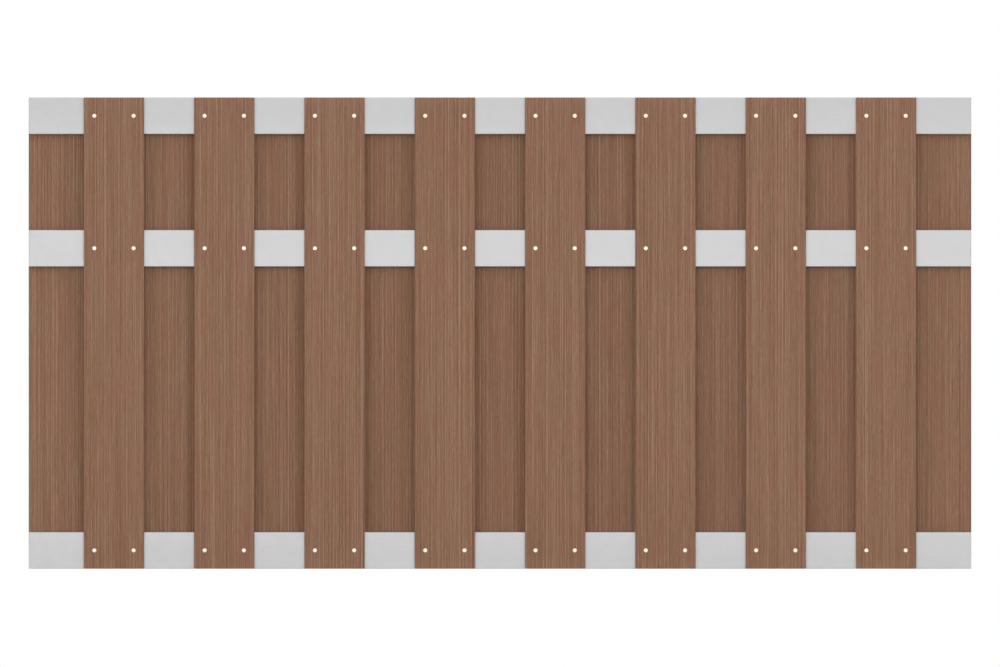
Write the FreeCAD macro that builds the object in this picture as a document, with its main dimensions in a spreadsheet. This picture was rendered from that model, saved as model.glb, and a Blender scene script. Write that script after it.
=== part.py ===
# Garden fence panel with boards on both faces.
#
# Three hollow aluminium rails lie one above the other. Upright composite boards are screwed to
# their front and to their back, and every board laps the gap between two boards opposite. The
# ends of the rails are closed by plastic caps.
#
# The frame is +X along the panel, +Y from front to back and +Z up. The origin is on the ground,
# midway along the panel and midway through the rails. Lengths are in millimetres.

import FreeCAD, Part
import math
import os
import Sketcher

X_AXIS = FreeCAD.Vector(1, 0, 0)
Z_AXIS = FreeCAD.Vector(0, 0, 1)
HALF_TURN = 180

# How near two directions or two places have to be to count as the same.
SAME_DIRECTION = 0.99
SAME_PLACE = 0.001

# How a sketch counts the points of a line or a circle, and its own axes and origin.
START = 1
END = 2
CENTRE = 3
LEVEL_AXIS = -1
UPRIGHT_AXIS = -2
ORIGIN = (-1, 1)

# Driving sizes: name, value and meaning.
SIZES = (
    ("panel_length", 1800, "overall length, from end cap to end cap"),
    ("panel_height", 900, "overall height, which is the length of a board"),
    ("front_boards", 8, "boards on the front, one fewer than on the back"),
    ("board_width", 115, "width of a board"),
    ("board_thickness", 15, "thickness of a board"),
    ("board_edge_chamfer", 1.5, "easing of a board's long edges"),
    ("rail_height", 70, "height of a rail's section"),
    ("rail_depth", 20, "depth of a rail's section, which keeps the two faces apart"),
    ("rail_wall", 2, "wall of the hollow rail"),
    ("rail_corner_radius", 1.5, "rounding of a rail's long edges"),
    ("middle_rail_drop", 183, "clear height from the middle rail up to the top rail"),
    ("screw_edge_distance", 20, "from a board's long edge to the axis of a screw"),
    ("shank_diameter", 4.2, "screw shank, across its corners"),
    ("screw_reach", 8, "shank inside the hollow rail"),
    ("board_hole_clearance", 0.5, "room round the shank in a board, which swells and shrinks"),
    ("rail_hole_clearance", 0.05, "room round the shank in the wall of a rail"),
    ("head_overhang", 1.4, "head of a screw beyond the hole that it covers"),
    ("head_height", 2.6, "height of the head above the board"),
    ("head_draw", 1.5, "how far the head draws in from its rim to its flat crown"),
    ("cap_lip", 2, "plate of an end cap outside the rail"),
    ("cap_leg_length", 14, "legs of an end cap inside the rail"),
    ("cap_leg_height", 10, "height of a leg"),
    ("cap_leg_chamfer", 1.5, "lead at the tip of a leg"),
    ("cap_side_clearance", 0.3, "between a leg and the front and back walls"),
)

# Sizes and places that follow from the driving ones.
LAYOUT = (
    ("board_step", "=(Sizes.panel_length - Sizes.board_width) / (2 * Sizes.front_boards)",
     "from a board to the next board opposite"),
    ("board_pitch", "=2 * board_step", "from a board to the next one on its own face"),
    ("front_reach", "=(Sizes.front_boards - 1) * board_pitch", "from the first front board to the last"),
    ("rear_boards", "=Sizes.front_boards + 1", "boards on the back"),
    ("rear_reach", "=Sizes.front_boards * board_pitch", "from the first rear board to the last"),
    ("board_middle", "=(Sizes.rail_depth + Sizes.board_thickness) / 2", "origin to a board's middle"),
    ("board_face", "=Sizes.rail_depth / 2 + Sizes.board_thickness", "origin to a board's outer face"),
    ("rail_length", "=Sizes.panel_length - 2 * Sizes.cap_lip", "cut length of a rail"),
    ("hollow_height", "=Sizes.rail_height - 2 * Sizes.rail_wall", "height inside a rail"),
    ("hollow_depth", "=Sizes.rail_depth - 2 * Sizes.rail_wall", "depth inside a rail"),
    ("rail_end", "=rail_length / 2", "from the origin to a rail's end"),
    ("bottom_level", "=Sizes.rail_height / 2", "middle of the bottom rail"),
    ("top_level", "=Sizes.panel_height - Sizes.rail_height / 2", "middle of the top rail"),
    ("middle_level", "=top_level - Sizes.rail_height - Sizes.middle_rail_drop", "middle of the middle rail"),
    ("screw_spacing", "=Sizes.board_width - 2 * Sizes.screw_edge_distance", "between the screws of a pair"),
    ("pair_offset", "=screw_spacing / 2", "from a board's middle to a screw"),
    ("front_end_screw", "=front_reach / 2 + pair_offset", "from the origin to the last front screw"),
    ("rear_end_screw", "=rear_reach / 2 + pair_offset", "from the origin to the last rear screw"),
    ("board_hole", "=Sizes.shank_diameter + 2 * Sizes.board_hole_clearance", "hole in a board"),
    ("rail_hole", "=Sizes.shank_diameter + 2 * Sizes.rail_hole_clearance", "hole in a rail"),
    ("head_diameter", "=board_hole + 2 * Sizes.head_overhang", "head of a screw"),
    ("head_slope", "=-atan(Sizes.head_draw / Sizes.head_height)", "slope of the head's side"),
    ("shank_length", "=Sizes.board_thickness + Sizes.rail_wall + Sizes.screw_reach", "from the head to the tip"),
    ("leg_depth", "=hollow_depth - 2 * Sizes.cap_side_clearance", "depth of a cap's leg"),
    ("leg_foot", "=hollow_height / 2 - Sizes.cap_leg_height", "cap's middle to a leg's near side"),
)

# The screws and their holes are many and small, so their circles are drawn as polygons.
HEAD_SIDES = 12
SHANK_SIDES = 6

SCREWS_IN_PAIR = 2
LEVELS = ("top", "middle", "bottom")
FACES = ("front", "rear")

doc = FreeCAD.newDocument("fence_panel")


def make_sheet(name, rows):
    """A sheet with one row for each size: its meaning, and its value under an alias."""
    sheet = doc.addObject("Spreadsheet::Sheet", name)
    for row, (alias, content, meaning) in enumerate(rows, start=1):
        sheet.set(f"A{row}", meaning)
        sheet.set(f"B{row}", str(content))
        sheet.setAlias(f"B{row}", alias)
    doc.recompute()
    return sheet


sizes = make_sheet("Sizes", SIZES)
layout = make_sheet("Layout", LAYOUT)
driving_names = {alias for alias, content, meaning in SIZES}


def cell(name):
    """The expression that reads a size from its sheet."""
    return f"Sizes.{name}" if name in driving_names else f"Layout.{name}"


def size(name):
    """A size's present value."""
    return float(sizes.get(name) if name in driving_names else layout.get(name))


def new_body(name):
    """An empty body for one node. It may hold several solids that don't touch."""
    body = doc.addObject("PartDesign::Body", name)
    body.AllowCompound = True
    return body


def origin_of(body, role):
    """One of a body's own planes or axes."""
    return next(feature for feature in body.Origin.OriginFeatures if feature.Role == role)


def new_sketch(body, name, plane):
    """An empty sketch on one of a body's own planes."""
    sketch = body.newObject("Sketcher::SketchObject", f"{body.Name}_{name}")
    sketch.AttachmentSupport = [(origin_of(body, plane), "")]
    sketch.MapMode = "FlatFace"
    return sketch


def constrain(sketch, kind, *places):
    """A constraint without a size."""
    sketch.addConstraint(Sketcher.Constraint(kind, *places))


def dimension(sketch, kind, places, name):
    """A dimension that takes its value from a named size."""
    index = sketch.addConstraint(Sketcher.Constraint(kind, *places, size(name)))
    sketch.setExpression(f"Constraints[{index}]", cell(name))


def draw_loop(sketch, points):
    """Straight lines that join the points and close on the first one."""
    count = len(points)
    lines = []
    for k in range(count):
        lines.append(sketch.addGeometry(Part.LineSegment(points[k], points[(k + 1) % count])))
    for k in range(count):
        constrain(sketch, "Coincident", lines[k], END, lines[(k + 1) % count], START)
    return lines


def draw_rectangle(sketch, width, height, foot=None):
    """A rectangle centred on the origin, or one that stands on the upright axis at a height."""
    half = size(width) / 2
    low = -size(height) / 2 if foot is None else size(foot)
    high = low + size(height)
    corners = ((-half, low), (half, low), (half, high), (-half, high))
    lines = draw_loop(sketch, [FreeCAD.Vector(x, y, 0) for x, y in corners])
    bottom, right, top, left = lines
    constrain(sketch, "Horizontal", top)
    constrain(sketch, "Vertical", left)
    constrain(sketch, "Symmetric", bottom, START, bottom, END, UPRIGHT_AXIS)
    if foot is None:
        constrain(sketch, "Symmetric", right, START, right, END, LEVEL_AXIS)
    else:
        constrain(sketch, "Vertical", right)
        dimension(sketch, "DistanceY", (*ORIGIN, bottom, START), foot)
    dimension(sketch, "DistanceX", (bottom, START, bottom, END), width)
    dimension(sketch, "DistanceY", (right, START, right, END), height)


def draw_polygon(sketch, sides, diameter, across=None, up=None):
    """A regular polygon in a circle, at a distance across and up from the origin."""
    radius = size(diameter) / 2
    centre = FreeCAD.Vector(size(across) if across else 0, size(up) if up else 0, 0)
    turns = [2 * math.pi * k / sides for k in range(sides)]
    points = [centre + radius * FreeCAD.Vector(math.cos(turn), math.sin(turn), 0) for turn in turns]
    circle = sketch.addGeometry(Part.Circle(centre, Z_AXIS, radius), True)
    lines = draw_loop(sketch, points)
    for line in lines:
        constrain(sketch, "PointOnObject", line, START, circle)
    for line in lines[1:]:
        constrain(sketch, "Equal", lines[0], line)
    dimension(sketch, "Diameter", (circle,), diameter)
    if across:
        dimension(sketch, "DistanceX", (*ORIGIN, circle, CENTRE), across)
    else:
        constrain(sketch, "PointOnObject", circle, CENTRE, UPRIGHT_AXIS)
    if up:
        dimension(sketch, "DistanceY", (*ORIGIN, circle, CENTRE), up)
    else:
        constrain(sketch, "PointOnObject", circle, CENTRE, LEVEL_AXIS)
    # The first corner is level with the centre, so that every polygon is turned alike.
    spoke = sketch.addGeometry(Part.LineSegment(centre, points[0]), True)
    constrain(sketch, "Coincident", spoke, START, circle, CENTRE)
    constrain(sketch, "Coincident", spoke, END, lines[0], START)
    constrain(sketch, "Horizontal", spoke)


def pad(body, name, sketch, length, side="One side", reverse=False, slope=None):
    """Material along a sketch's normal, straight or drawn in towards its end."""
    feature = body.newObject("PartDesign::Pad", f"{body.Name}_{name}")
    feature.Profile = sketch
    feature.SideType = side
    feature.Reversed = reverse
    feature.setExpression("Length", cell(length))
    if slope:
        feature.setExpression("TaperAngle", cell(slope))
    doc.recompute()
    return feature


def pocket(body, name, sketch, side="Symmetric", reverse=False):
    """A cut right through, on both sides of the sketch or on one."""
    uncut = body.Shape.Volume
    feature = body.newObject("PartDesign::Pocket", f"{body.Name}_{name}")
    feature.Profile = sketch
    feature.Type = "ThroughAll"
    feature.SideType = side
    feature.Reversed = reverse
    doc.recompute()
    if body.Shape.Volume >= uncut:
        raise RuntimeError(f"{feature.Label} cuts nothing")
    return feature


def edges_along(solid, axis):
    """The names of a solid's straight edges that run along an axis."""
    names = []
    for number, edge in enumerate(solid.Shape.Edges, start=1):
        if abs(edge.tangentAt(edge.FirstParameter).dot(axis)) > SAME_DIRECTION:
            names.append(f"Edge{number}")
    return names


def edges_at(solid, x):
    """The names of a solid's edges that lie in the plane at a distance along X."""
    names = []
    for number, edge in enumerate(solid.Shape.Edges, start=1):
        if all(abs(vertex.X - x) < SAME_PLACE for vertex in edge.Vertexes):
            names.append(f"Edge{number}")
    return names


def round_edges(body, solid, edges, radius):
    """Edges rounded to a radius."""
    feature = body.newObject("PartDesign::Fillet", f"{body.Name}_rounding")
    feature.Base = (solid, edges)
    feature.setExpression("Radius", cell(radius))
    doc.recompute()


def chamfer_edges(body, name, solid, edges, width):
    """Edges cut off at 45 degrees."""
    feature = body.newObject("PartDesign::Chamfer", f"{body.Name}_{name}")
    feature.Base = (solid, edges)
    feature.setExpression("Size", cell(width))
    doc.recompute()


def repeat_pairs(body, name, features, boards=None, reach=None):
    """Features at one screw, repeated at its pair and then, if asked for, at every board of a face."""
    pattern = body.newObject("PartDesign::LinearPattern", f"{body.Name}_{name}")
    pattern.Originals = features
    pattern.Direction = (origin_of(body, "X_Axis"), [""])
    pattern.Reversed = True
    pattern.Mode = "Extent"
    pattern.setExpression("Length", cell("screw_spacing"))
    pattern.Occurrences = SCREWS_IN_PAIR
    if boards:
        pattern.Direction2 = (origin_of(body, "X_Axis"), [""])
        pattern.Reversed2 = True
        pattern.Mode2 = "Extent"
        pattern.setExpression("Length2", cell(reach))
        pattern.setExpression("Occurrences2", cell(boards))
    body.Tip = pattern
    doc.recompute()


def place(body, x="0", y="0", z="0", turned=False):
    """A body's place, by expressions, and half a turn about the upright where it faces the other way."""
    if turned:
        body.Placement.Rotation = FreeCAD.Rotation(Z_AXIS, HALF_TURN)
    for axis, expression in (("x", x), ("y", y), ("z", z)):
        body.setExpression(f"Placement.Base.{axis}", expression)


def make_rail(level):
    """A hollow rail, with a hole in its front or back wall for every screw."""
    body = new_body(f"{level}_rail")
    section = new_sketch(body, "section", "YZ_Plane")
    draw_rectangle(section, "rail_depth", "rail_height")
    solid = pad(body, "length", section, "rail_length", side="Symmetric")
    round_edges(body, solid, edges_along(solid, X_AXIS), "rail_corner_radius")
    hollow = new_sketch(body, "hollow_section", "YZ_Plane")
    draw_rectangle(hollow, "hollow_depth", "hollow_height")
    pocket(body, "hollow", hollow)
    for face in FACES:
        outline = new_sketch(body, f"{face}_hole_outline", "XZ_Plane")
        draw_polygon(outline, SHANK_SIDES, "rail_hole", across=f"{face}_end_screw")
        hole = pocket(body, f"{face}_hole", outline, side="One side", reverse=face == "front")
        repeat_pairs(body, f"{face}_holes", [hole], f"{face}_boards", f"{face}_reach")
    place(body, z=cell(f"{level}_level"))
    return body


def make_cap(level, is_right):
    """A cap for a rail's end: a plate with the rail's outline, and two legs that hold in the hollow."""
    side = "right" if is_right else "left"
    body = new_body(f"{level}_{side}_cap")
    outline = new_sketch(body, "plate_outline", "YZ_Plane")
    draw_rectangle(outline, "rail_depth", "rail_height")
    plate = pad(body, "plate", outline, "cap_lip")
    chamfer_edges(body, "corners", plate, edges_along(plate, X_AXIS), "rail_corner_radius")
    leg_outline = new_sketch(body, "leg_outline", "YZ_Plane")
    draw_rectangle(leg_outline, "leg_depth", "cap_leg_height", foot="leg_foot")
    leg = pad(body, "leg", leg_outline, "cap_leg_length", reverse=True)
    legs = body.newObject("PartDesign::Mirrored", f"{body.Name}_legs")
    legs.Originals = [leg]
    legs.MirrorPlane = (origin_of(body, "XY_Plane"), [""])
    body.Tip = legs
    doc.recompute()
    chamfer_edges(body, "lead", legs, edges_at(legs, -size("cap_leg_length")), "cap_leg_chamfer")
    end = cell("rail_end")
    place(body, x=end if is_right else f"-{end}", z=cell(f"{level}_level"), turned=not is_right)
    return body


def make_board(face, number):
    """An upright board, with a pair of screw holes at every rail. Boards are counted from the left."""
    body = new_body(f"{face}_board_{number}")
    section = new_sketch(body, "section", "XY_Plane")
    draw_rectangle(section, "board_width", "board_thickness")
    solid = pad(body, "length", section, "panel_height")
    chamfer_edges(body, "edges", solid, edges_along(solid, Z_AXIS), "board_edge_chamfer")
    outline = new_sketch(body, "hole_outline", "XZ_Plane")
    for level in LEVELS:
        draw_polygon(outline, SHANK_SIDES, "board_hole", across="pair_offset", up=f"{level}_level")
    holes = pocket(body, "hole", outline)
    repeat_pairs(body, "holes", [holes])
    side = "-" if face == "front" else ""
    left_end = f"-{cell(f'{face}_reach')} / 2"
    x = f"{left_end} + {number - 1} * {cell('board_pitch')}"
    place(body, x=x, y=f"{side}{cell('board_middle')}")
    return body


def make_screws(level, face):
    """The screws that hold one face's boards to one rail."""
    body = new_body(f"{level}_{face}_screws")
    head_outline = new_sketch(body, "head_outline", "XZ_Plane")
    draw_polygon(head_outline, HEAD_SIDES, "head_diameter")
    head = pad(body, "head", head_outline, "head_height", slope="head_slope")
    shank_outline = new_sketch(body, "shank_outline", "XZ_Plane")
    draw_polygon(shank_outline, SHANK_SIDES, "shank_diameter")
    shank = pad(body, "shank", shank_outline, "shank_length", reverse=True)
    repeat_pairs(body, "row", [head, shank], f"{face}_boards", f"{face}_reach")
    end = cell(f"{face}_end_screw")
    is_front = face == "front"
    side = "-" if is_front else ""
    x = end if is_front else f"-{end}"
    place(body, x=x, y=f"{side}{cell('board_face')}", z=cell(f"{level}_level"), turned=not is_front)
    return body


def make_panel():
    """Every piece of the panel, each in a body of its own."""
    bodies = []
    for level in LEVELS:
        bodies.append(make_rail(level))
        bodies.append(make_cap(level, is_right=False))
        bodies.append(make_cap(level, is_right=True))
    for face in FACES:
        for number in range(1, int(size(f"{face}_boards")) + 1):
            bodies.append(make_board(face, number))
        for level in LEVELS:
            bodies.append(make_screws(level, face))
    doc.recompute()
    return bodies


def check(bodies):
    """Stop if anything in the document failed, or a body is empty or not sound."""
    for thing in doc.Objects:
        if "Invalid" in thing.State or "Error" in thing.State:
            raise RuntimeError(f"{thing.Label} failed: {thing.State}")
    for body in bodies:
        if body.Shape.isNull() or not body.Shape.isValid() or not body.Shape.Solids:
            raise RuntimeError(f"{body.Label} has no sound shape")


def write(bodies):
    """One file for each body, under its label."""
    os.makedirs("parts", exist_ok=True)
    for body in bodies:
        body.Shape.exportStep(f"parts/{body.Label}.step")
        print(f"{body.Label}: {len(body.Shape.Solids)} solids, {body.Shape.Volume / 1000:.2f} cm3")


panel = make_panel()
check(panel)
write(panel)
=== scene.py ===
"""Fence panel with brushed composite boards on both sides of three aluminium rails.

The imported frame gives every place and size. This file adds the finishes, the brushed boards, the
softened end caps, the screws and the stage. Lengths are metres, +Z is up and the front looks along -Y.
"""

import math

import bmesh
import bpy
import numpy as np
from bpy.props import FloatProperty, FloatVectorProperty, IntProperty, PointerProperty
from bpy.types import NodeSocket, Operator, Panel, PropertyGroup
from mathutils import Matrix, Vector


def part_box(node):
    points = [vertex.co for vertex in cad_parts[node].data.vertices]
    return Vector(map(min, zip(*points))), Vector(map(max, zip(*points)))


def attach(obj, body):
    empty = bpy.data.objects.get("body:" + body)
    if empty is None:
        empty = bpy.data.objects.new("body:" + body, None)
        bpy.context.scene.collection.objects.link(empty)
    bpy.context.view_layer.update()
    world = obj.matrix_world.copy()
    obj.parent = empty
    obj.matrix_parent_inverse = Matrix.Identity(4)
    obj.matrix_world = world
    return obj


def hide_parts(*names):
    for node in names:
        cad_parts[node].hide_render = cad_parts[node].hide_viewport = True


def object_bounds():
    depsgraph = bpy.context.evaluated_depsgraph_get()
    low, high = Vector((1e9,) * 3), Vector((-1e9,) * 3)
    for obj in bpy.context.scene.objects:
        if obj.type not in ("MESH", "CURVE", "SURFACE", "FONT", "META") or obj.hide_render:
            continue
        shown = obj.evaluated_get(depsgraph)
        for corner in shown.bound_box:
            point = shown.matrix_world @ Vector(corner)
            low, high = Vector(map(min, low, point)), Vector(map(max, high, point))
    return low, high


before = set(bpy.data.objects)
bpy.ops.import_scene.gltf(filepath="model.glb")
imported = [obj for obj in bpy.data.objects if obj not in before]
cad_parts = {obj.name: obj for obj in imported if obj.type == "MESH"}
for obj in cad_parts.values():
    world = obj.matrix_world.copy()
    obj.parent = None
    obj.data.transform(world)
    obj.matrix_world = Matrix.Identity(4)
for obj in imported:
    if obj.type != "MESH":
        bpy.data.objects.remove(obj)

bl_info = {
    "name": "Fence Panel",
    "version": (1, 0, 0),
    "blender": (4, 5, 0),
    "location": "3D View > Sidebar > Fence",
    "description": "Dresses a double-sided board fence panel on its packed frame",
    "category": "Add Mesh",
}

CAD_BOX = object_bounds()
BODY = "root"
LEVELS = ("top", "middle", "bottom")
FACES = ("front", "rear")
SCREWS_OF = {(level, face): f"{level}_{face}_screws" for level in LEVELS for face in FACES}

# The map that a board's finish can be baked through
BAKE_MAP = "OFBake"
MAP_MARGIN = 0.01
MAP_WRAP_TOP = 0.88
MAP_HOLES = (0.90, 0.92)
MAP_ENDS = (0.94, 0.99)

# Board mesh: steps round each long corner. A pad is half the side of the square under a screw head, as
# a share of the head's radius. Mesh rings lie by the screw, and the brushed lines end there, in pads
CORNER_STEPS = 4
PAD_SHARE = 0.75
PAD_RINGS = (-2.0, -1.0, -0.5, 0.0, 0.5, 1.0, 2.0)
PAD_CLEAR = 1.5
FACE_MATERIAL, END_MATERIAL = 0, 1

# Brushed lines in the mesh: places along a board where their strength changes, and the least share of it
STROKE_KNOTS = 9
STROKE_FLOOR = 0.3

# Screw mesh: sides of the head and of the shank, lobes of the recess, rings in each turn of the thread
HEAD_SIDES = 48
SHANK_SIDES = 8
LOBES = 6
RINGS_IN_TURN = 4
DOME_STEPS = 5
TIP_TURNS = 2.0
SHANK_RADIUS = 0.0021

# Recess of a screw: its floor and the foot of its wall as shares of its mouth, its bevel as a share of
# its depth, and the dip outside its mouth as a share of the bevel
RECESS_FLOOR = 0.55
RECESS_FOOT = 0.92
RECESS_BEVEL = 0.1
MOUTH_DIP = 0.15

# Eased seat of a screw, as shares of the head's radius and height
SEAT_RADIUS = 0.97
SEAT_HEIGHT = 0.08

# End cap mesh: points this close are one, flatter edges go, sharper ones are rounded in some steps
WELD_DISTANCE = 1e-6
FLAT_ANGLE = math.radians(1)
CORNER_ANGLE = math.radians(20)
ROUND_STEPS = 3

# Brushed lines in the shaders: how far apart two lines draw their tones, how far one starts past the
# other, and how much each stands out from the lines beside it
LINE_SPREAD = 5.37
LINE_SHIFT = 0.618
LINE_CRISP = 0.4

# Combed bands in the shaders: bands of a wave texture in one unit, and how little they change along a board
WAVE_TURNS = 20 / (2 * math.pi)
COMB_STRETCH = (1.0, 1.0, 0.025)

# Colours of dust and of rubbed places
DUST_COLOUR = (0.45, 0.41, 0.36)
RUBBED_ALUMINIUM = (0.75, 0.75, 0.75)
RUBBED_PLASTIC = (0.6, 0.6, 0.6)
RUBBED_STEEL = (0.95, 0.94, 0.92)

# Edges sharper than this stay crisp, and the others are shaded smooth
SHARP_ANGLE = math.radians(40)

# Stage: sides of the round floor, and how softly the glow in front gives way to the one behind
FLOOR_SIDES = 128
GLOW_SEAM = 0.1


def nodes_with(word):
    """The frame's nodes whose names hold a word, in order."""
    return sorted(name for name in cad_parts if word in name)


def length_property(label, note, default):
    return FloatProperty(name=label, description=note, default=default, min=0, precision=5, unit="LENGTH")


def share_property(label, note, default):
    return FloatProperty(name=label, description=note, default=default, min=0, max=1, subtype="FACTOR")


def strength_property(label, note, default, unit="NONE"):
    return FloatProperty(name=label, description=note, default=default, min=0, unit=unit)


def colour_property(label, note, default):
    return FloatVectorProperty(
        name=label, description=note, default=default, size=3, min=0, max=1, subtype="COLOR"
    )


class FENCE_PG_boards(PropertyGroup):
    """Sizes and colours of the composite boards."""

    edge_radius: length_property("Edge radius", "Radius of a board's long edges", 0.002)
    end_ease: length_property("End ease", "Width of the eased rim at the sawn ends", 0.0006)
    brush_step: length_property("Brush step", "Distance between the brushed lines", 0.001)
    brush_depth: length_property("Brush depth", "Depth of the deepest brushed line", 0.00025)
    ring_step: length_property("Ring step", "Distance between the mesh rings along a board", 0.04)
    hole_clearance: length_property("Hole clearance", "Room round a screw's shank in the board", 0.0005)
    line_width: length_property("Line width", "Width of a brushed line's own tone", 0.00191)
    comb_pitch: length_property("Comb pitch", "Mean distance between the combed bands", 0.0067)
    body: colour_property("Body", "Colour of the composite between the streaks", (0.247, 0.123, 0.0697))
    pale_streak: colour_property("Pale streak", "Colour of the palest streaks", (0.365, 0.225, 0.1505))
    dark_streak: colour_property("Dark streak", "Colour of the darkest streaks", (0.156, 0.0585, 0.0263))
    red_drift: colour_property("Red drift", "Tint of the redder stretches", (1.0, 0.948, 0.953))
    olive_drift: colour_property("Olive drift", "Tint of the greener stretches", (0.948, 1.0, 0.972))
    sawn: colour_property("Sawn end", "Colour of the sawn ends", (0.215, 0.118, 0.076))
    seed: IntProperty(name="Seed", description="Start of the random brushed lines", default=7, min=0)


class FENCE_PG_rails(PropertyGroup):
    """Finish of the aluminium rails."""

    metal: colour_property("Metal", "Colour of the anodised aluminium", (0.590, 0.590, 0.593))
    die_line_width: length_property("Die line width", "Width of the drawn lines along a rail", 0.0012)
    die_line_length: length_property("Die line length", "Length of the drawn lines", 1.5)


class FENCE_PG_caps(PropertyGroup):
    """Finish and softened edges of the end caps."""

    plastic: colour_property("Plastic", "Colour of the moulded caps", (0.600, 0.600, 0.605))
    edge_radius: length_property("Edge radius", "Radius of the moulded edges", 0.0005)
    texture_size: length_property("Texture size", "Grain of the matt mould texture", 0.0007)


class FENCE_PG_screws(PropertyGroup):
    """Sizes and finish of the pan-head screws."""

    steel: colour_property("Steel", "Colour of the bright steel", (0.980, 0.905, 0.775))
    flat_share: share_property("Flat share", "Flat top of the head as a share of its radius", 0.72)
    rim_share: share_property("Rim share", "Straight rim as a share of the head's height", 0.78)
    recess_radius: length_property("Recess radius", "Mean radius of the six-lobe recess", 0.00165)
    lobe_height: length_property("Lobe height", "Swing of the recess to each side of its radius", 0.00026)
    recess_depth: length_property("Recess depth", "Depth of the recess", 0.0012)
    thread_pitch: length_property("Thread pitch", "Rise of one turn of the thread", 0.0021)
    thread_depth: length_property("Thread depth", "Height of the thread's ridge", 0.0006)
    seed: IntProperty(name="Seed", description="Start of the random turns of the screws", default=11, min=0)


class FENCE_PG_stage(PropertyGroup):
    """Floor, light and camera."""

    floor: colour_property("Floor", "Colour of the floor", (0.92, 0.92, 0.92))
    floor_white: share_property("Floor white", "Share of plain white in the floor as it is seen", 0.5)
    floor_radius: length_property("Floor radius", "Radius of the round floor", 150.0)
    sky: strength_property("Sky", "Strength of the white light all round", 0.55)
    glow: strength_property("Glow", "Strength of the broad glow in front", 4.14)
    rear_glow: share_property("Rear glow", "Glow behind the panel as a share of the glow in front", 0.6)
    glow_focus: strength_property("Glow focus", "How close the glow keeps together", 8)
    card: strength_property("Card", "Power of each card that the metal mirrors", 1.25, unit="POWER")
    card_width: length_property("Card width", "Width of each card", 2.4)
    card_height: length_property("Card height", "Height of each card", 0.83)
    card_distance: length_property("Card distance", "Distance from the panel to each card", 1.0)
    view_width: length_property("View width", "Width of the view across the panel", 1.9096)
    view_drop: length_property("View drop", "How far the view's centre lies under the panel's", 0.00076)
    view_distance: length_property("View distance", "Distance from the panel to the camera", 4.0)


class FENCE_PG_panel(PropertyGroup):
    """Everything that a user of the panel would change."""

    boards: PointerProperty(type=FENCE_PG_boards)
    rails: PointerProperty(type=FENCE_PG_rails)
    caps: PointerProperty(type=FENCE_PG_caps)
    screws: PointerProperty(type=FENCE_PG_screws)
    stage: PointerProperty(type=FENCE_PG_stage)


# Shader helpers

def feed(tree, socket, value):
    """Links an output to a socket, or sets the socket to a plain value."""
    if isinstance(value, NodeSocket):
        tree.links.new(value, socket)
    elif hasattr(value, "__len__") and len(value) == 3 and len(socket.default_value) == 4:
        socket.default_value = (*value, 1)
    else:
        socket.default_value = value


def add_node(tree, kind, inputs=None, **options):
    """A new node with its options set and its inputs fed, by name or by number."""
    node = tree.nodes.new(kind)
    for name, value in options.items():
        setattr(node, name, value)
    for name, value in (inputs or {}).items():
        feed(tree, node.inputs[name], value)
    return node


def maths(tree, operation, *values, clamp=False):
    """The result of one sum on values or outputs."""
    node = add_node(tree, "ShaderNodeMath", dict(enumerate(values)), operation=operation, use_clamp=clamp)
    return node.outputs[0]


def ease_between(tree, value, low, high):
    """0 under low, 1 over high and a smooth rise between them."""
    inputs = {"Value": value, "From Min": low, "From Max": high}
    return add_node(tree, "ShaderNodeMapRange", inputs, interpolation_type="SMOOTHSTEP").outputs["Result"]


def scale_to(tree, value, low, high):
    """A value from 0 to 1 spread from low to high."""
    inputs = {"Value": value, "To Min": low, "To Max": high}
    return add_node(tree, "ShaderNodeMapRange", inputs).outputs["Result"]


def mix_colours(tree, share, first, second, blend="MIX"):
    """Two colours mixed by a share, the first where it is 0."""
    inputs = {0: share, 6: first, 7: second}
    return add_node(tree, "ShaderNodeMix", inputs, data_type="RGBA", blend_type=blend).outputs[2]


def colour_ramp(tree, value, stops):
    """Colours along a value, from stops of place and colour."""
    node = add_node(tree, "ShaderNodeValToRGB", {"Fac": value})
    elements = node.color_ramp.elements
    while len(elements) < len(stops):
        elements.new(0.5)
    for element, (place, colour) in zip(elements, stops):
        element.position = place
        element.color = (*colour, 1)
    return node.outputs["Color"]


def weighted_sum(tree, *terms):
    """The sum of values, each times its weight."""
    total = 0.0
    for value, weight in terms:
        total = maths(tree, "MULTIPLY_ADD", value, weight, total)
    return total


def shaded(colour, factor):
    """A plain colour made darker or paler, as pale as white at most."""
    return tuple(min(1.0, value * factor) for value in colour)


def turned(tree, place, order):
    """A place with its axes in another order, such as YZX."""
    axes = add_node(tree, "ShaderNodeSeparateXYZ", {0: place}).outputs
    ordered = {number: axes[axis] for number, axis in enumerate(order)}
    return add_node(tree, "ShaderNodeCombineXYZ", ordered).outputs[0]


def use_group(tree, group, **inputs):
    """The one output of a shader group placed in a material with its own values."""
    node = add_node(tree, "ShaderNodeGroup", node_tree=group)
    for name, value in inputs.items():
        feed(tree, node.inputs[name.capitalize()], value)
    return node.outputs[0]


def start_group(name, inputs, output):
    """A new shader group that takes a Vector and some values: its tree, what it is given, its result."""
    tree = bpy.data.node_groups.new(name, "ShaderNodeTree")
    tree.interface.new_socket("Vector", in_out="INPUT", socket_type="NodeSocketVector")
    for label, default in inputs.items():
        socket = tree.interface.new_socket(label, in_out="INPUT", socket_type="NodeSocketFloat")
        socket.default_value = default
    tree.interface.new_socket(output, in_out="OUTPUT", socket_type="NodeSocketFloat")
    given = add_node(tree, "NodeGroupInput").outputs
    result = add_node(tree, "NodeGroupOutput").inputs[output]
    return tree, given, result


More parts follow.
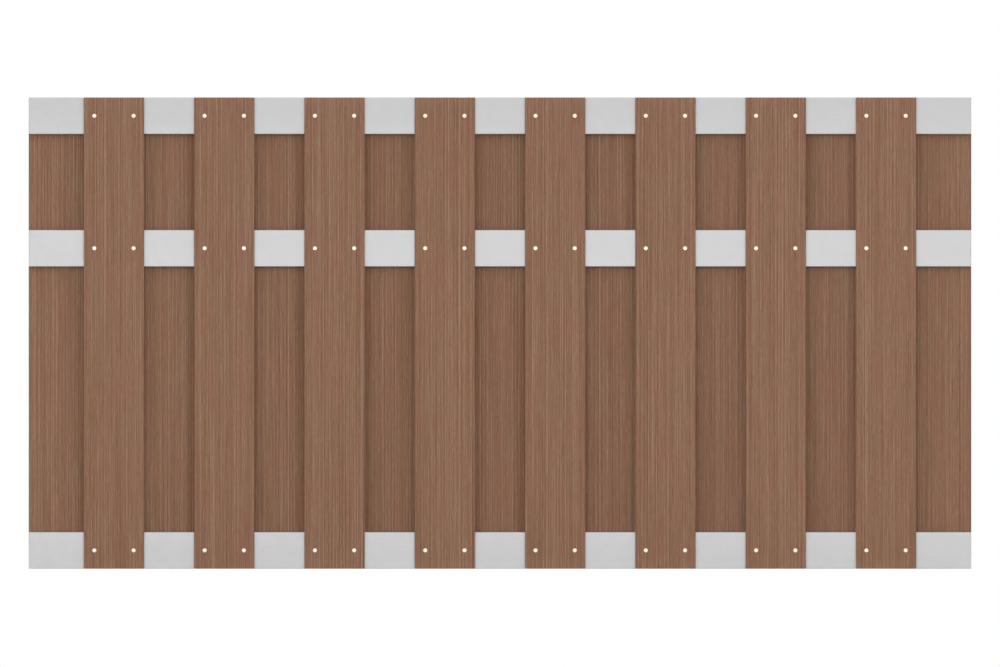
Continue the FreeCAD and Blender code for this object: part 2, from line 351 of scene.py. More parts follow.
def long_cells(tree, given):
    """The given place in cells that are Width across the first two axes and Length along the third."""
    sizes = {0: given["Width"], 1: given["Width"], 2: given["Length"]}
    cell = add_node(tree, "ShaderNodeCombineXYZ", sizes).outputs[0]
    inputs = {0: given["Vector"], 1: cell}
    return add_node(tree, "ShaderNodeVectorMath", inputs, operation="DIVIDE").outputs[0]


def contrasted(tree, tone, contrast):
    """A tone about 0.5 spread by a contrast, within 0 and 1."""
    centred = maths(tree, "SUBTRACT", tone, 0.5)
    return maths(tree, "MULTIPLY_ADD", centred, contrast, 0.5, clamp=True)


def streak_group():
    """Soft random streaks: Width across the first two axes, Length along the third."""
    name = "Drawn streaks"
    if name in bpy.data.node_groups:
        return bpy.data.node_groups[name]
    tree, given, result = start_group(name, {"Width": 0.002, "Length": 0.3, "Contrast": 1.0}, "Streak")
    inputs = {"Vector": long_cells(tree, given), "Scale": 1.0, "Detail": 1.0, "Roughness": 0.5}
    noise = add_node(tree, "ShaderNodeTexNoise", inputs).outputs["Fac"]
    feed(tree, result, contrasted(tree, noise, given["Contrast"]))
    return tree


def line_tone(tree, across, along, step):
    """Random tone of the line that lies a number of steps to the side."""
    column = maths(tree, "ADD", across["X"], step)
    spot = add_node(tree, "ShaderNodeCombineXYZ", {
        0: maths(tree, "MULTIPLY", column, LINE_SPREAD),
        1: maths(tree, "MULTIPLY", across["Y"], LINE_SPREAD),
        2: weighted_sum(tree, (column, LINE_SHIFT), (across["Y"], LINE_SHIFT), (along, 1.0)),
    })
    noise = add_node(tree, "ShaderNodeTexNoise", {
        "Vector": spot.outputs[0], "Scale": 1.0, "Detail": 5.0, "Roughness": 0.9, "Lacunarity": 3.0,
    })
    return noise.outputs["Fac"]


def line_group():
    """Crisp lines along the third axis: each is Width across, with a tone of its own over Length."""
    name = "Brushed lines"
    if name in bpy.data.node_groups:
        return bpy.data.node_groups[name]
    tree, given, result = start_group(name, {"Width": 0.002, "Length": 0.5, "Contrast": 3.0}, "Line")
    place = long_cells(tree, given)
    line = add_node(tree, "ShaderNodeVectorMath", {0: place}, operation="FLOOR").outputs[0]
    across = add_node(tree, "ShaderNodeSeparateXYZ", {0: line}).outputs
    along = add_node(tree, "ShaderNodeSeparateXYZ", {0: place}).outputs["Z"]
    middle, left, right = (line_tone(tree, across, along, step) for step in (0, -1, 1))
    tone = weighted_sum(
        tree, (middle, 1 + LINE_CRISP), (left, -LINE_CRISP / 2), (right, -LINE_CRISP / 2)
    )
    feed(tree, result, contrasted(tree, tone, given["Contrast"]))
    return tree


def wear_group():
    """Rubbed ridges and corners: 0 under Start, 1 over Full, broken up by patches."""
    name = "Rubbed edges"
    if name in bpy.data.node_groups:
        return bpy.data.node_groups[name]
    tree, given, result = start_group(name, {"Start": 0.51, "Full": 0.6, "Patches": 60.0}, "Wear")
    point = add_node(tree, "ShaderNodeNewGeometry").outputs["Pointiness"]
    ridge = ease_between(tree, point, given["Start"], given["Full"])
    noise = add_node(tree, "ShaderNodeTexNoise", {"Vector": given["Vector"], "Scale": given["Patches"]})
    patch = ease_between(tree, noise.outputs["Fac"], 0.3, 0.7)
    feed(tree, result, maths(tree, "MULTIPLY", ridge, patch))
    return tree


def dust_group():
    """Dust that settles on what faces up, thicker in some places."""
    name = "Settled dust"
    if name in bpy.data.node_groups:
        return bpy.data.node_groups[name]
    tree, given, result = start_group(name, {"Amount": 0.2, "Patches": 40.0}, "Dust")
    normal = add_node(tree, "ShaderNodeNewGeometry").outputs["Normal"]
    rise = add_node(tree, "ShaderNodeSeparateXYZ", {0: normal}).outputs["Z"]
    facing_up = ease_between(tree, rise, 0.3, 0.95)
    noise = add_node(tree, "ShaderNodeTexNoise", {"Vector": given["Vector"], "Scale": given["Patches"]})
    patch = ease_between(tree, noise.outputs["Fac"], 0.25, 0.75)
    feed(tree, result, maths(tree, "MULTIPLY", maths(tree, "MULTIPLY", facing_up, patch), given["Amount"]))
    return tree


def start_material(name, **sockets):
    """A new material, its tree, its main shader with plain sockets set, and its place on the object."""
    material = bpy.data.materials.new(name)
    material.use_nodes = True
    tree = material.node_tree
    shader = tree.nodes["Principled BSDF"]
    for label, value in sockets.items():
        feed(tree, shader.inputs[label.replace("_", " ")], value)
    place = add_node(tree, "ShaderNodeTexCoord").outputs["Object"]
    return material, tree, shader.inputs, place


def add_relief(tree, inputs, height, depth, strength):
    """Bump from a height that changes over the surface."""
    relief = {"Height": height, "Distance": depth, "Strength": strength}
    feed(tree, inputs["Normal"], add_node(tree, "ShaderNodeBump", relief).outputs["Normal"])


def board_face_material(boards):
    """Brown composite with a brushed face: long lines, a drift between red and olive, rubbed ridges."""
    material, tree, inputs, place = start_material("Brushed composite", Specular_IOR_Level=0.35)
    streaks = streak_group()
    lines = line_group()
    line = use_group(tree, lines, vector=place, width=boards.line_width, length=2.2, contrast=2.2)
    fine_line = use_group(tree, lines, vector=place, width=0.00095, length=0.8, contrast=2.8)
    fibre = use_group(tree, streaks, vector=place, width=0.00022, length=0.03, contrast=2.2)
    broad_streak = use_group(tree, streaks, vector=place, width=0.02, length=0.6, contrast=2.0)
    stretch = {0: place, 1: COMB_STRETCH}
    stretched = add_node(tree, "ShaderNodeVectorMath", stretch, operation="MULTIPLY").outputs[0]
    bands = {
        "Vector": stretched, "Scale": 1 / (WAVE_TURNS * boards.comb_pitch),
        "Distortion": 3.0, "Detail": 1.0, "Detail Scale": 1.0,
    }
    comb = add_node(tree, "ShaderNodeTexWave", bands, bands_direction="X").outputs["Fac"]
    drift = use_group(tree, streaks, vector=place, width=0.03, length=0.1, contrast=2.7)
    tone = weighted_sum(
        tree, (line, 0.58), (fine_line, 0.18), (fibre, 0.06), (broad_streak, 0.08), (comb, 0.10)
    )
    colour = colour_ramp(
        tree, tone, [(0.05, boards.dark_streak), (0.5, boards.body), (0.95, boards.pale_streak)]
    )
    tint = mix_colours(tree, drift, boards.red_drift, boards.olive_drift)
    colour = mix_colours(tree, 1.0, colour, tint, blend="MULTIPLY")
    wear = use_group(tree, wear_group(), vector=place, start=0.505, full=0.58, patches=30.0)
    colour = mix_colours(tree, maths(tree, "MULTIPLY", wear, 0.25), colour, boards.pale_streak)
    dust = use_group(tree, dust_group(), vector=place, amount=0.35)
    feed(tree, inputs["Base Color"], mix_colours(tree, dust, colour, DUST_COLOUR))
    feed(tree, inputs["Roughness"], scale_to(tree, tone, 0.78, 0.58))
    add_relief(tree, inputs, tone, 0.0004, 0.35)
    return material


def board_end_material(boards):
    """Sawn end of a board: wood flour and plastic, with pale and dark flecks and faint saw marks."""
    material, tree, inputs, place = start_material("Sawn composite", Specular_IOR_Level=0.25)
    flecks = add_node(tree, "ShaderNodeTexVoronoi", {"Vector": place, "Scale": 900.0})
    fleck_tone = add_node(tree, "ShaderNodeSeparateColor", {0: flecks.outputs["Color"]}).outputs[0]
    cloud = use_group(tree, streak_group(), vector=place, width=0.006, length=0.006, contrast=1.6)
    across = turned(tree, place, "XZY")
    saw = use_group(tree, line_group(), vector=across, width=0.0006, length=0.03, contrast=1.8)
    tone = weighted_sum(tree, (fleck_tone, 0.5), (cloud, 0.3), (saw, 0.2))
    colour = colour_ramp(
        tree, tone, [(0.15, boards.dark_streak), (0.5, boards.sawn), (0.88, boards.pale_streak)]
    )
    dust = use_group(tree, dust_group(), vector=place, amount=0.3)
    feed(tree, inputs["Base Color"], mix_colours(tree, dust, colour, DUST_COLOUR))
    feed(tree, inputs["Roughness"], scale_to(tree, tone, 0.9, 0.75))
    add_relief(tree, inputs, tone, 0.0003, 0.4)
    return material


def rail_material(rails):
    """Satin anodised aluminium with faint die lines along the rail."""
    material, tree, inputs, place = start_material("Anodised aluminium", Metallic=1.0)
    along = turned(tree, place, "YZX")
    streaks = streak_group()
    lines = use_group(
        tree, streaks, vector=along, width=rails.die_line_width, length=rails.die_line_length, contrast=1.6
    )
    cloud = use_group(tree, streaks, vector=along, width=0.05, length=0.2, contrast=1.4)
    wear = use_group(tree, wear_group(), vector=place, start=0.52, full=0.65)
    dust = use_group(tree, dust_group(), vector=place, amount=0.2)
    tone = weighted_sum(tree, (lines, 0.6), (cloud, 0.4))
    colour = mix_colours(tree, tone, shaded(rails.metal, 0.96), shaded(rails.metal, 1.04))
    colour = mix_colours(tree, maths(tree, "MULTIPLY", wear, 0.3), colour, RUBBED_ALUMINIUM)
    feed(tree, inputs["Base Color"], mix_colours(tree, dust, colour, DUST_COLOUR))
    satin = weighted_sum(tree, (scale_to(tree, lines, 0.27, 0.33), 1.0), (dust, 0.4))
    feed(tree, inputs["Roughness"], satin)
    add_relief(tree, inputs, lines, 0.00004, 0.25)
    return material


def cap_material(caps):
    """Silver-grey plastic with a fine matt mould texture and slightly polished edges."""
    material, tree, inputs, place = start_material("Moulded cap", Specular_IOR_Level=0.4)
    grain = {"Vector": place, "Scale": 1 / caps.texture_size, "Detail": 2.0}
    pebble = add_node(tree, "ShaderNodeTexNoise", grain).outputs["Fac"]
    cloud = use_group(tree, streak_group(), vector=place, width=0.012, length=0.012, contrast=1.5)
    wear = use_group(tree, wear_group(), vector=place, start=0.52, full=0.66, patches=120.0)
    dust = use_group(tree, dust_group(), vector=place, amount=0.25)
    tone = weighted_sum(tree, (pebble, 0.5), (cloud, 0.5))
    colour = mix_colours(tree, tone, shaded(caps.plastic, 0.92), shaded(caps.plastic, 1.07))
    colour = mix_colours(tree, maths(tree, "MULTIPLY", wear, 0.35), colour, RUBBED_PLASTIC)
    feed(tree, inputs["Base Color"], mix_colours(tree, dust, colour, DUST_COLOUR))
    matt = maths(tree, "SUBTRACT", scale_to(tree, cloud, 0.52, 0.64), maths(tree, "MULTIPLY", wear, 0.15))
    feed(tree, inputs["Roughness"], matt)
    add_relief(tree, inputs, pebble, 0.0001, 0.5)
    return material


def screw_material(screws):
    """Bright steel with faint forming marks and rubbed rims."""
    material, tree, inputs, place = start_material("Bright steel", Metallic=1.0)
    marks = use_group(tree, streak_group(), vector=place, width=0.0004, length=0.0016, contrast=1.6)
    cloud = use_group(tree, streak_group(), vector=place, width=0.003, length=0.003, contrast=1.5)
    wear = use_group(tree, wear_group(), vector=place, start=0.5, full=0.62, patches=300.0)
    tone = weighted_sum(tree, (marks, 0.5), (cloud, 0.5))
    colour = mix_colours(tree, tone, shaded(screws.steel, 0.95), screws.steel)
    colour = mix_colours(tree, maths(tree, "MULTIPLY", wear, 0.4), colour, RUBBED_STEEL)
    feed(tree, inputs["Base Color"], colour)
    feed(tree, inputs["Roughness"], scale_to(tree, marks, 0.2, 0.32))
    add_relief(tree, inputs, marks, 0.00003, 0.3)
    return material


# Board mesh

def section_points(width, thickness, radius, columns):
    """Points round a board's section, from the front face's left end, anticlockwise seen from above."""
    reach = width / 2 - radius
    face = np.stack([np.linspace(-reach, reach, columns), np.full(columns, -thickness / 2)], axis=1)
    turn = np.linspace(0, math.pi / 2, CORNER_STEPS + 1)
    near = np.stack([reach + radius * np.sin(turn), radius - thickness / 2 - radius * np.cos(turn)], axis=1)
    far = np.stack([reach + radius * np.cos(turn), thickness / 2 - radius + radius * np.sin(turn)], axis=1)
    half = np.concatenate([face, near[1:], far[:-1]])
    return np.concatenate([half, -half])


def ring_heights(length, ease, step, screw_heights, pad):
    """Heights of a board's mesh rings: even, closer at the screws, with a rim at each sawn end."""
    even = np.linspace(ease, length - ease, round(length / step) + 1)
    gap = max(PAD_RINGS) * pad
    clear = [height for height in even if all(abs(height - screw) > gap for screw in screw_heights)]
    close = [screw + share * pad for screw in screw_heights for share in PAD_RINGS]
    return np.array(sorted([0.0, *clear, *close, length]))


def brushed_depth(random, heights, columns, depth):
    """Depth of the brushed lines on one face, by ring and column: each swells and fades along the board."""
    lines = random.random(columns) ** 2
    knots = np.linspace(heights[0], heights[-1], STROKE_KNOTS)
    strength = random.random((columns, STROKE_KNOTS))
    fade = np.stack([np.interp(heights, knots, line) for line in strength], axis=1)
    return depth * lines * (STROKE_FLOOR + (1 - STROKE_FLOOR) * fade)


class BoardMesh:
    """A board in its own place: a brushed, wrapped grid with screw holes and sawn ends."""

    def __init__(self, low, high, screw_heights, screw_offset, head_radius, hole_radius, boards, random):
        self.width, self.thickness, self.length = high - low
        self.centre = (low + high) / 2
        self.bottom = low.z
        screw_heights = [height - self.bottom for height in screw_heights]
        self.hole_radius = hole_radius
        self.pad = PAD_SHARE * head_radius
        self.columns = round((self.width - 2 * boards.edge_radius) / boards.brush_step) + 1
        self.half_points = self.columns + 2 * CORNER_STEPS
        self.points = 2 * self.half_points
        self.heights = ring_heights(self.length, boards.end_ease, boards.ring_step, screw_heights, self.pad)
        self.holes = [(side * screw_offset, height) for side in (-1, 1) for height in screw_heights]
        self.faces, self.map, self.finish = [], [], []
        self.make_points(boards, random)
        self.make_wrap()
        for number, hole in enumerate(self.holes):
            self.make_hole(number, *hole)
        self.make_ends()

    def make_points(self, boards, random):
        """The grid of points, with the brushed lines sunk into both faces and clear of the screw heads."""
        ease = boards.end_ease
        full = section_points(self.width, self.thickness, boards.edge_radius, self.columns)
        eased = section_points(
            self.width - 2 * ease, self.thickness - 2 * ease, boards.edge_radius - ease, self.columns
        )
        self.face_x = full[:self.columns, 0]
        steps = np.linalg.norm(np.diff(full, axis=0, append=full[:1]), axis=1)
        self.around = np.concatenate([[0.0], np.cumsum(steps)])
        rings = len(self.heights)
        grid = np.empty((rings, self.points, 3))
        grid[:, :, :2] = full
        grid[[0, -1], :, :2] = eased
        grid[:, :, 2] = self.heights[:, None]
        brushed = np.ones((rings, self.columns), bool)
        for across, height in self.holes:
            near_ring = np.abs(self.heights - height) < PAD_CLEAR * self.pad
            near_column = np.abs(self.face_x - across) < PAD_CLEAR * self.pad
            brushed[np.ix_(near_ring, near_column)] = False
        for start, inward in ((0, 1), (self.half_points, -1)):
            sunk = brushed_depth(random, self.heights, self.columns, boards.brush_depth)
            clear = brushed if inward > 0 else brushed[:, ::-1]
            grid[:, start:start + self.columns, 1] += inward * np.where(clear, sunk, 0)
        self.vertices = list(grid.reshape(-1, 3))

    def at(self, ring, point):
        """Number of a grid point."""
        return ring * self.points + point % self.points

    def behind(self, column):
        """The back face's point opposite a column of the front face."""
        return self.half_points + self.columns - 1 - column

    def add_face(self, corners, places, finish=FACE_MATERIAL):
        self.faces.append(tuple(int(corner) for corner in corners))
        self.map.extend(places)
        self.finish.append(finish)

    def wrap_place(self, along, height):
        """Place on the map of a point on the wrapped faces."""
        u = MAP_MARGIN + (1 - 2 * MAP_MARGIN) * along / self.around[-1]
        return u, MAP_MARGIN + (MAP_WRAP_TOP - MAP_MARGIN) * height / self.length

    def block(self, across, height):
        """First and last column and ring of the square that a hole takes out of the grid."""
        left = np.flatnonzero(self.face_x <= across - self.pad)[-1]
        right = np.flatnonzero(self.face_x >= across + self.pad)[0]
        low, high = (int(np.argmin(np.abs(self.heights - height - side * self.pad))) for side in (-1, 1))
        return left, right, low, high

    def make_wrap(self):
        """The four long sides, less the squares round the holes."""
        kept = np.ones((len(self.heights) - 1, self.points), bool)
        for hole in self.holes:
            left, right, low, high = self.block(*hole)
            kept[low:high, left:right] = False
            kept[low:high, self.behind(right):self.behind(left)] = False
        for ring, point in zip(*np.nonzero(kept)):
            cell = ((ring, point), (ring, point + 1), (ring + 1, point + 1), (ring + 1, point))
            corners = [self.at(*corner) for corner in cell]
            self.add_face(corners, [self.wrap_place(self.around[p], self.heights[r]) for r, p in cell])

    def make_hole(self, number, across, height):
        """A round hole: a ring of quads on each face and the wall between them."""
        left, right, low, high = self.block(across, height)
        rim = [(low, column) for column in range(left, right)]
        rim += [(ring, right) for ring in range(low, high)]
        rim += [(high, column) for column in range(right, left, -1)]
        rim += [(ring, left) for ring in range(high, low, -1)]
        count = len(rim)
        first = len(self.vertices)
        circle = []
        for ring, column in rim:
            spoke = np.array([self.face_x[column] - across, self.heights[ring] - height])
            circle.append(np.array([across, height]) + spoke * self.hole_radius / np.linalg.norm(spoke))
        for depth in (-self.thickness / 2, self.thickness / 2):
            self.vertices.extend(np.array([x, depth, z]) for x, z in circle)
        front_start = self.face_x[0]
        back_start = self.around[self.half_points]
        for here in range(count):
            there = (here + 1) % count
            near = [first + here, first + there]
            far = [corner + count for corner in near]
            ends = [rim[here], rim[there]]
            front = [self.at(ring, column) for ring, column in ends]
            back = [self.at(ring, self.behind(column)) for ring, column in ends]
            outer = [(self.face_x[column], self.heights[ring]) for ring, column in ends]
            inner = [circle[there], circle[here]]
            places = [(x - front_start, z) for x, z in (*outer, *inner)]
            self.add_face([*front, near[1], near[0]], [self.wrap_place(*place) for place in places])
            places = [(back_start - front_start - x, z) for x, z in (*outer[::-1], *inner[::-1])]
            self.add_face([*back[::-1], far[0], far[1]], [self.wrap_place(*place) for place in places])
            u_here, u_there = ((number + step / count) / len(self.holes) for step in (here, here + 1))
            v_near, v_far = MAP_HOLES
            places = [(u_here, v_near), (u_there, v_near), (u_there, v_far), (u_here, v_far)]
            self.add_face([near[0], near[1], far[1], far[0]], places, END_MATERIAL)

    def make_ends(self):
        """The sawn ends: quads from face to face and one many-sided face along each rounded edge."""
        for ring, shift in ((len(self.heights) - 1, 0.5), (0, 0.0)):
            loops = []
            for column in range(self.columns - 1):
                loops.append([column, column + 1, self.behind(column + 1), self.behind(column)])
            for start in (self.columns - 1, self.half_points + self.columns - 1):
                loops.append(list(range(start, start + 2 * CORNER_STEPS + 2)))
            for loop in loops:
                ordered = loop if ring else loop[::-1]
                corners = [self.at(ring, point) for point in ordered]
                places = [self.end_place(self.vertices[corner], shift) for corner in corners]
                self.add_face(corners, places, END_MATERIAL)

    def end_place(self, point, shift):
        """Place on the map of a point on a sawn end."""
        low, high = MAP_ENDS
        u = shift + MAP_MARGIN + (0.5 - 2 * MAP_MARGIN) * (point[0] / self.width + 0.5)
        return u, low + (high - low) * (point[1] / self.thickness + 0.5)

    def build(self, name):
        """The finished mesh, in the frame, without the grid points inside the holes."""
        moved = np.array(self.vertices) + np.array([self.centre.x, self.centre.y, self.bottom])
        used = sorted({corner for face in self.faces for corner in face})
        number = {corner: place for place, corner in enumerate(used)}
        faces = [tuple(number[corner] for corner in face) for face in self.faces]
        mesh = bpy.data.meshes.new(name)
        mesh.from_pydata(moved[used].tolist(), [], faces)
        mesh.uv_layers.new(name=BAKE_MAP).data.foreach_set("uv", np.array(self.map, np.float32).ravel())
        mesh.polygons.foreach_set("material_index", self.finish)
        return mesh


# Screw mesh

def lathe_faces(first, sides, rings):
    """Quads between rings of points that are numbered one after the other."""
    faces = []
    for ring in range(rings - 1):
        for side in range(sides):
            here = first + ring * sides + side
            there = first + ring * sides + (side + 1) % sides
            faces.append((here, here + sides, there + sides, there))
    return faces


def ring_points(radii, height, sides):
    """Points of one ring about the screw's axis, which is Z here, with the head up."""
    angles = np.arange(sides) * 2 * math.pi / sides
    return np.stack([radii * np.cos(angles), radii * np.sin(angles), np.full(sides, height)], axis=1)


def head_rings(screws, radius, height):
    """Rings of the head from the recess floor over the dome to the seat."""
    angles = np.arange(HEAD_SIDES) * 2 * math.pi / HEAD_SIDES
    lobes = screws.lobe_height * np.cos(LOBES * angles)
    flat = screws.flat_share * radius
    rim = screws.rim_share * height
    floor = height - screws.recess_depth
    bevel = RECESS_BEVEL * screws.recess_depth
    mouth = screws.recess_radius + lobes
    rings = [
        (RECESS_FLOOR * mouth, floor - bevel),
        (RECESS_FOOT * mouth, floor),
        (mouth, height - bevel),
        (mouth + bevel, height - MOUTH_DIP * bevel),
    ]
    for turn in np.linspace(0, math.pi / 2, DOME_STEPS + 1):
        across = flat + (radius - flat) * math.sin(turn)
        rings.append((across, rim + (height - rim) * math.cos(turn)))
    rings.append((radius, SEAT_HEIGHT * height))
    rings.append((SEAT_RADIUS * radius, 0.0))
    return [ring_points(np.broadcast_to(across, HEAD_SIDES), up, HEAD_SIDES) for across, up in rings]


def shank_rings(screws, radius, length):
    """Rings of the threaded shank from the seat to near the tip."""
    angles = np.arange(SHANK_SIDES) / SHANK_SIDES
    step = screws.thread_pitch / RINGS_IN_TURN
    tip = TIP_TURNS * screws.thread_pitch
    root = radius - screws.thread_depth
    rings = [ring_points(root, 0.0, SHANK_SIDES)]
    for depth in np.arange(step, length - step / 2, step):
        turn = (depth / screws.thread_pitch + angles) % 1.0
        ridge = (1 - np.abs(2 * turn - 1)) ** 2
        taper = min(1.0, (length - depth) / tip)
        rings.append(ring_points((root + screws.thread_depth * ridge) * taper, -depth, SHANK_SIDES))
    return rings


def screw_shape(screws, head_radius, head_height, shank_radius, shank_length):
    """Points and faces of one screw, head up, seated at height 0."""
    head = head_rings(screws, head_radius, head_height)
    shank = shank_rings(screws, shank_radius, shank_length)
    seat = (len(head) - 1) * HEAD_SIDES
    first = len(head) * HEAD_SIDES
    last = first + (len(shank) - 1) * SHANK_SIDES
    count = first + len(shank) * SHANK_SIDES
    floor_middle = np.array([[0, 0, head[0][0][2]]])
    tip = np.array([[0, 0, -shank_length]])
    points = np.concatenate([*head, *shank, floor_middle, tip])
    faces = lathe_faces(0, HEAD_SIDES, len(head)) + lathe_faces(first, SHANK_SIDES, len(shank))
    for side in range(HEAD_SIDES):
        faces.append((count, side, (side + 1) % HEAD_SIDES))
    share = HEAD_SIDES // SHANK_SIDES
    for side in range(SHANK_SIDES):
        beyond = (side + 1) % SHANK_SIDES
        outer = [seat + (side * share + step) % HEAD_SIDES for step in range(share + 1)]
        faces.append((first + beyond, *outer[::-1], first + side))
        faces.append((last + beyond, last + side, count + 1))
    return points, faces


def screw_places(level, face):
    """Where one row of screws sits: points on the boards' outer face, and the row's own sizes."""
    low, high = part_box(SCREWS_OF[level, face])
    head_radius = (high.z - low.z) / 2
    boards = [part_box(name) for name in nodes_with(f"{face}_board_")]
    offset = min((a.x + b.x) / 2 for a, b in boards) - (low.x + head_radius)
    seat = boards[0][0].y if face == "front" else boards[0][1].y
    crown, tip = (low.y, high.y) if face == "front" else (high.y, low.y)
    height = (low.z + high.z) / 2
    middles = [(a.x + b.x) / 2 for a, b in boards]
    columns = [middle + side * offset for middle in sorted(middles) for side in (-1, 1)]
    places = [Vector((column, seat, height)) for column in columns]
    sizes = {
        "offset": offset,
        "head_radius": head_radius,
        "head_height": abs(crown - seat),
        "shank_length": abs(tip - seat),
    }
    return places, sizes


# Pieces

def add_piece(name, mesh, node, materials):
    """Puts a finished mesh on the panel's body in place of a node of the frame."""
    for material in materials:
        mesh.materials.append(material)
    mesh.shade_smooth()
    mesh.set_sharp_from_angle(angle=SHARP_ANGLE)
    piece = bpy.data.objects.new(name, mesh)
    bpy.context.scene.collection.objects.link(piece)
    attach(piece, BODY)
    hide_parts(node)


class FENCE_OT_boards(Operator):
    """Makes the brushed boards of both sides, each with its screw holes and sawn ends"""

    bl_idname = "fence.boards"
    bl_label = "Boards"

    def execute(self, context):
        boards = context.scene.fence_panel.boards
        finishes = [board_face_material(boards), board_end_material(boards)]
        random = np.random.default_rng(boards.seed)
        for face in FACES:
            rows = [screw_places(level, face) for level in LEVELS]
            heights = sorted(places[0].z for places, sizes in rows)
            sizes = rows[0][1]
            offset, head_radius = sizes["offset"], sizes["head_radius"]
            hole_radius = SHANK_RADIUS + boards.hole_clearance / 2
            for node in nodes_with(f"{face}_board_"):
                low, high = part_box(node)
                shape = BoardMesh(low, high, heights, offset, head_radius, hole_radius, boards, random)
                add_piece(f"brushed_{node}", shape.build(f"brushed_{node}"), node, finishes)
        return {"FINISHED"}


class FENCE_OT_rails(Operator):
    """Gives the three rails their satin anodised finish"""

    bl_idname = "fence.rails"
    bl_label = "Rails"

    def execute(self, context):
        finish = rail_material(context.scene.fence_panel.rails)
        for node in nodes_with("_rail"):
            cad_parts[node].material_slots[0].material = finish
        return {"FINISHED"}


class FENCE_OT_caps(Operator):
    """Makes the end caps with softened edges, in the shape of the frame's own"""

    bl_idname = "fence.caps"
    bl_label = "End caps"

    def execute(self, context):
        caps = context.scene.fence_panel.caps
        finish = cap_material(caps)
        for node in nodes_with("_cap"):
            shape = bmesh.new()
            shape.from_mesh(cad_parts[node].data)
            bmesh.ops.remove_doubles(shape, verts=shape.verts, dist=WELD_DISTANCE)
            bmesh.ops.dissolve_limit(shape, angle_limit=FLAT_ANGLE, verts=shape.verts, edges=shape.edges)
            corners = [edge for edge in shape.edges if edge.calc_face_angle(0) > CORNER_ANGLE]
            bmesh.ops.bevel(
                shape, geom=corners, offset=caps.edge_radius, segments=ROUND_STEPS, profile=0.5,
                affect="EDGES", clamp_overlap=True,
            )
            mesh = bpy.data.meshes.new(f"moulded_{node}")
            shape.to_mesh(mesh)
            shape.free()
            add_piece(f"moulded_{node}", mesh, node, [finish])
        return {"FINISHED"}


class FENCE_OT_screws(Operator):
    """Makes each row of pan-head screws with six-lobe recesses and threaded shanks"""

    bl_idname = "fence.screws"
    bl_label = "Screws"

    def execute(self, context):
        screws = context.scene.fence_panel.screws
        finish = screw_material(screws)
        random = np.random.default_rng(screws.seed)
        for (level, face), node in SCREWS_OF.items():
            places, sizes = screw_places(level, face)
            points, faces = screw_shape(
                screws, sizes["head_radius"], sizes["head_height"], SHANK_RADIUS, sizes["shank_length"]
            )
            outward = -1 if face == "front" else 1
            all_points, all_faces = [], []
            for number, place in enumerate(places):
                turn = random.random() * 2 * math.pi
                across = points[:, 0] * math.cos(turn) - points[:, 1] * math.sin(turn)
                up = points[:, 0] * math.sin(turn) + points[:, 1] * math.cos(turn)
                out = points[:, 2] * outward
                laid = np.stack([across * -outward, out, up], axis=1)
                all_points.append(laid + np.array(place))
                start = number * len(points)
                all_faces += [tuple(start + corner for corner in corners) for corners in faces]
            mesh = bpy.data.meshes.new(f"pan_head_{node}")
            mesh.from_pydata(np.concatenate(all_points).tolist(), [], all_faces)
            add_piece(f"pan_head_{node}", mesh, node, [finish])
        return {"FINISHED"}


# Stage

def seen_directly(tree):
    """1 for what the camera and the metal see, 0 for what only lights the panel."""
    path = add_node(tree, "ShaderNodeLightPath").outputs
    seen = maths(tree, "MAXIMUM", path["Is Camera Ray"], path["Is Glossy Ray"])
    return maths(tree, "MAXIMUM", seen, path["Is Transmission Ray"])


def floor_material(stage):
    """Plain pale floor with the faintest unevenness."""
    material, tree, inputs, place = start_material("Pale floor", Specular_IOR_Level=0.2)
    cloud = use_group(tree, streak_group(), vector=place, width=0.6, length=0.6, contrast=1.0)
    feed(tree, inputs["Base Color"], mix_colours(tree, cloud, shaded(stage.floor, 0.98), stage.floor))
    feed(tree, inputs["Roughness"], scale_to(tree, cloud, 0.85, 0.95))
    shader = tree.nodes["Principled BSDF"].outputs["BSDF"]
    white = add_node(tree, "ShaderNodeEmission", {"Strength": 1.0}).outputs[0]
    share = maths(tree, "MULTIPLY", seen_directly(tree), stage.floor_white)
    mixed = add_node(tree, "ShaderNodeMixShader", {0: share, 1: shader, 2: white}).outputs[0]
    feed(tree, tree.nodes["Material Output"].inputs["Surface"], mixed)
    return material


def make_floor(stage, level):
    """A round floor under the panel."""
    shape = bmesh.new()
    bmesh.ops.create_circle(shape, cap_ends=True, segments=FLOOR_SIDES, radius=stage.floor_radius)
    mesh = bpy.data.meshes.new("floor")
    shape.to_mesh(mesh)
    shape.free()
    mesh.materials.append(floor_material(stage))
    floor = bpy.data.objects.new("floor", mesh)
    floor.location.z = level
    bpy.context.scene.collection.objects.link(floor)


def make_sky(stage):
    """White light all round that glows in front and behind, and plain white where it is seen."""
    world = bpy.data.worlds.new("white_sky")
    world.use_nodes = True
    tree = world.node_tree
    background = tree.nodes["Background"].inputs
    background["Color"].default_value = (1, 1, 1, 1)
    direction = add_node(tree, "ShaderNodeTexCoord").outputs["Generated"]
    depth = add_node(tree, "ShaderNodeSeparateXYZ", {0: direction}).outputs["Y"]
    lobe = maths(tree, "POWER", maths(tree, "ABSOLUTE", depth), stage.glow_focus)
    side = add_node(tree, "ShaderNodeMapRange", {
        "Value": depth, "From Min": -GLOW_SEAM, "From Max": GLOW_SEAM,
        "To Min": stage.glow, "To Max": stage.glow * stage.rear_glow,
    }).outputs["Result"]
    light = maths(tree, "MULTIPLY_ADD", lobe, side, stage.sky)
    feed(tree, background["Strength"], scale_to(tree, seen_directly(tree), light, 1.0))
    bpy.context.scene.world = world


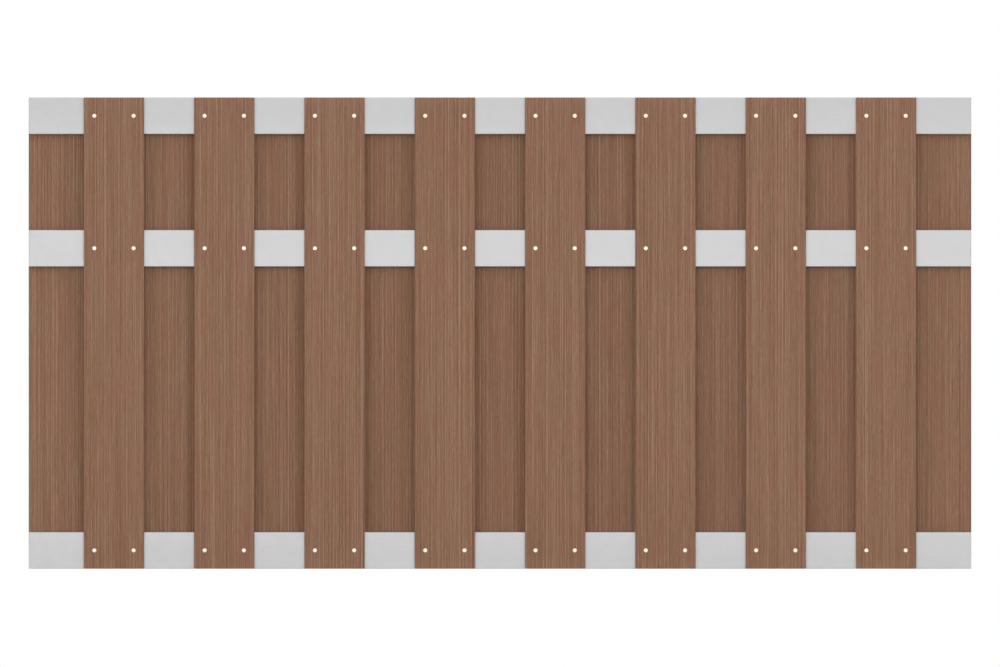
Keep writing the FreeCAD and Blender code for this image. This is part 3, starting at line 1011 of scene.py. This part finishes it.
def make_card(name, stage, middle, side):
    """A soft card beside the panel that only shows in the metal, as a gentle sheen on the rails."""
    light = bpy.data.lights.new(name, "AREA")
    light.shape = "RECTANGLE"
    light.size, light.size_y = stage.card_width, stage.card_height
    light.energy = stage.card
    card = bpy.data.objects.new(name, light)
    card.location = middle + Vector((0, side * stage.card_distance, 0))
    card.rotation_euler = (math.pi / 2, 0, math.pi if side > 0 else 0)
    card.visible_camera = False
    card.visible_diffuse = False
    bpy.context.scene.collection.objects.link(card)


def make_camera(stage, middle):
    """A camera without perspective, straight in front."""
    data = bpy.data.cameras.new("front_camera")
    data.type = "ORTHO"
    data.ortho_scale = stage.view_width
    camera = bpy.data.objects.new("front_camera", data)
    camera.location = middle + Vector((0, -stage.view_distance, -stage.view_drop))
    camera.rotation_euler = (math.pi / 2, 0, 0)
    bpy.context.scene.collection.objects.link(camera)
    bpy.context.scene.camera = camera


class FENCE_OT_stage(Operator):
    """Sets the floor, the soft light and the camera"""

    bl_idname = "fence.stage"
    bl_label = "Stage"

    def execute(self, context):
        stage = context.scene.fence_panel.stage
        low, high = CAD_BOX
        middle = (low + high) / 2
        make_floor(stage, low.z)
        make_sky(stage)
        for name, side in (("front_card", -1), ("rear_card", 1)):
            make_card(name, stage, middle, side)
        make_camera(stage, middle)
        context.scene.view_settings.view_transform = "Standard"
        return {"FINISHED"}


OPERATORS = (FENCE_OT_boards, FENCE_OT_rails, FENCE_OT_caps, FENCE_OT_screws, FENCE_OT_stage)


class FENCE_PT_panel(Panel):
    """Lists the fence panel's pieces and what can be changed on them"""

    bl_idname = "FENCE_PT_panel"
    bl_label = "Fence Panel"
    bl_space_type = "VIEW_3D"
    bl_region_type = "UI"
    bl_category = "Fence"

    def draw(self, context):
        settings = context.scene.fence_panel
        for operator in OPERATORS:
            box = self.layout.box()
            box.operator(operator.bl_idname)
            group = getattr(settings, operator.bl_idname.split(".")[1])
            for name in group.bl_rna.properties.keys():
                if name not in ("rna_type", "name"):
                    box.prop(group, name)


CLASSES = (
    FENCE_PG_boards,
    FENCE_PG_rails,
    FENCE_PG_caps,
    FENCE_PG_screws,
    FENCE_PG_stage,
    FENCE_PG_panel,
    *OPERATORS,
    FENCE_PT_panel,
)


def register():
    for cls in CLASSES:
        bpy.utils.register_class(cls)
    bpy.types.Scene.fence_panel = PointerProperty(type=FENCE_PG_panel)


def unregister():
    del bpy.types.Scene.fence_panel
    for cls in reversed(CLASSES):
        bpy.utils.unregister_class(cls)


def main():
    register()
    bpy.ops.fence.boards()
    bpy.ops.fence.rails()
    bpy.ops.fence.caps()
    bpy.ops.fence.screws()
    bpy.ops.fence.stage()


if __name__ == "__main__":
    main()
